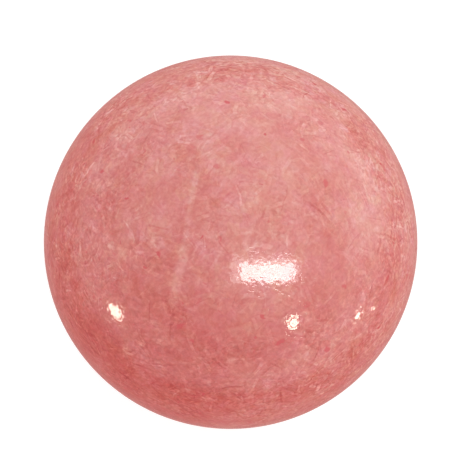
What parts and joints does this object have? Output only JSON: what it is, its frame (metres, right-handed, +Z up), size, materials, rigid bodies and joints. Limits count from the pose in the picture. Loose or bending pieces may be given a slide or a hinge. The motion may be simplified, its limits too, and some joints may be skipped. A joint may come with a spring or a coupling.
{
  "type": "cue ball",
  "caption": "Pool cue ball for a coin-operated table: a polished, mottled pink resin shell, seamless, over a layer of iron-filled resin and a plain core.",
  "frame": {"origin": "centre of the ball", "axes": "+Z up, through the middle of both half bowls of the iron layer; the ball is the same all round that axis, so +X and +Y are free"},
  "size_m": [0.0572, 0.0572, 0.0572],
  "materials": {
    "mottled_resin": "polished",
    "iron_resin": "matte",
    "core_resin": "satin"
  },
  "bodies": {
    "root": {"outer_shell": "mottled_resin", "iron_layer_upper": "iron_resin", "iron_layer_lower": "iron_resin", "core": "core_resin"}
  },
  "joints": []
}
